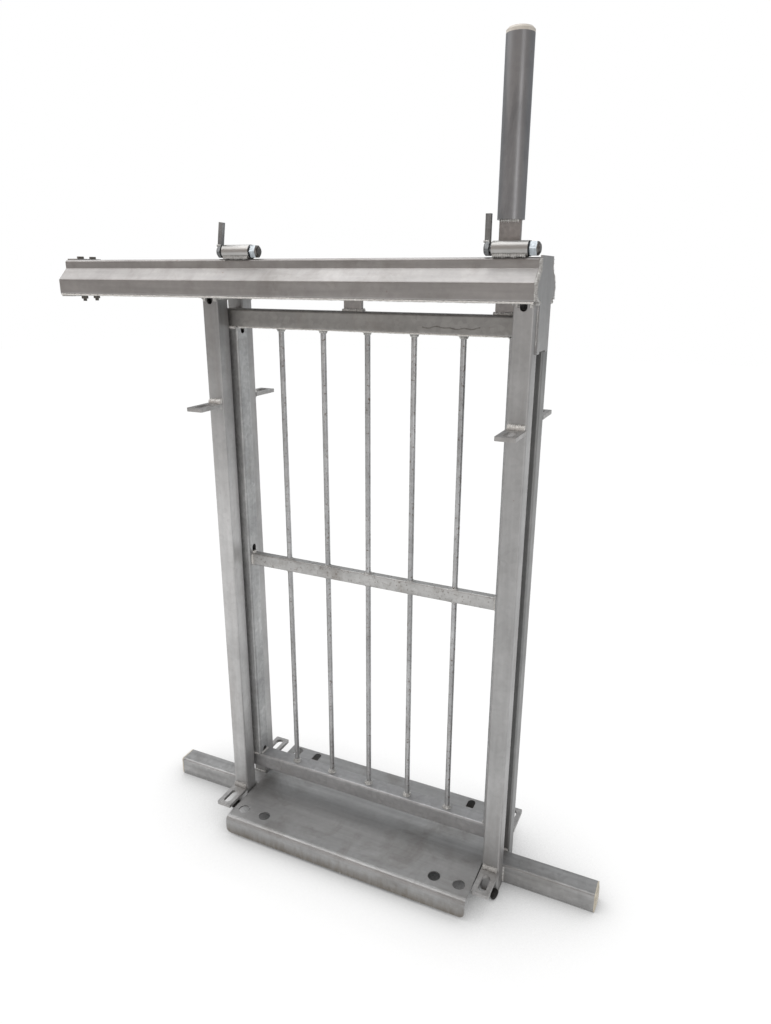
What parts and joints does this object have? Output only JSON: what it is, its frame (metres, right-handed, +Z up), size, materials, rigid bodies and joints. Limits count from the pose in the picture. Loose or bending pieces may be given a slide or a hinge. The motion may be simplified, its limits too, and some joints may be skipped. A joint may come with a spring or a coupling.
{
  "type": "sliding livestock stop gate",
  "caption": "Galvanised stop gate for an animal race: a barred gate hangs from an overhead slotted track on paired posts and slides aside by a tall handle.",
  "frame": {"origin": "on the ground at the middle of the passage, on the gate's centre plane, on the foot bar's underside", "axes": "+X right along the track as seen from the latch side, +Y away from that side, +Z up"},
  "size_m": [1.355, 0.34, 1.765],
  "materials": {
    "galvanised_steel": "dull hot-dip galvanised",
    "zinc_fasteners": "bright zinc plate",
    "roller_steel": "worn turned steel",
    "lever_steel": "dull galvanised, darkened by handling",
    "cap_plastic": "moulded plastic"
  },
  "bodies": {
    "frame": {"front_left_post": "galvanised_steel", "rear_left_post": "galvanised_steel", "front_right_post": "galvanised_steel", "rear_right_post": "galvanised_steel", "foot_bar": "galvanised_steel", "foot_bar_caps": "cap_plastic", "tread_plate": "galvanised_steel", "front_left_lower_lug": "galvanised_steel", "rear_left_lower_lug": "galvanised_steel", "front_right_lower_lug": "galvanised_steel", "rear_right_lower_lug": "galvanised_steel", "front_left_upper_lug": "galvanised_steel", "rear_left_upper_lug": "galvanised_steel", "front_right_upper_lug": "galvanised_steel", "rear_right_upper_lug": "galvanised_steel", "front_track_half": "galvanised_steel", "rear_track_half": "galvanised_steel", "track_end_plate": "galvanised_steel", "stop_top_bar": "galvanised_steel", "stop_bottom_bar": "galvanised_steel", "stop_bolts": "zinc_fasteners", "left_latch_tube": "galvanised_steel", "right_latch_tube": "galvanised_steel"},
    "gate": {"gate_top_rail": "galvanised_steel", "gate_bottom_rail": "galvanised_steel", "gate_left_stile": "galvanised_steel", "gate_right_stile": "galvanised_steel", "gate_mid_rail": "galvanised_steel", "gate_bar_1": "galvanised_steel", "gate_bar_2": "galvanised_steel", "gate_bar_3": "galvanised_steel", "gate_bar_4": "galvanised_steel", "gate_bar_5": "galvanised_steel", "middle_hanger": "galvanised_steel", "middle_axle": "zinc_fasteners", "middle_rollers": "roller_steel", "handle_bar": "galvanised_steel", "handle_axle": "zinc_fasteners", "handle_rollers": "roller_steel", "handle_grip": "galvanised_steel", "handle_cap": "cap_plastic"},
    "left_latch": {"left_lever": "lever_steel", "left_pivot_bolt": "zinc_fasteners"},
    "right_latch": {"right_lever": "lever_steel", "right_pivot_bolt": "zinc_fasteners"}
  },
  "joints": [
    {"name": "gate_slide", "type": "slide", "parent": "frame", "child": "gate", "axis": [-1, 0, 0], "range_m": [0, 0.68]},
    {"name": "left_lever_turn", "type": "hinge", "parent": "frame", "child": "left_latch", "pos_m": [-0.329, -0.0345, 1.4104], "axis": [-1, 0, 0], "range_deg": [0, 94]},
    {"name": "right_lever_turn", "type": "hinge", "parent": "frame", "child": "right_latch", "pos_m": [0.264, -0.0345, 1.4104], "axis": [-1, 0, 0], "range_deg": [0, 94]}
  ]
}
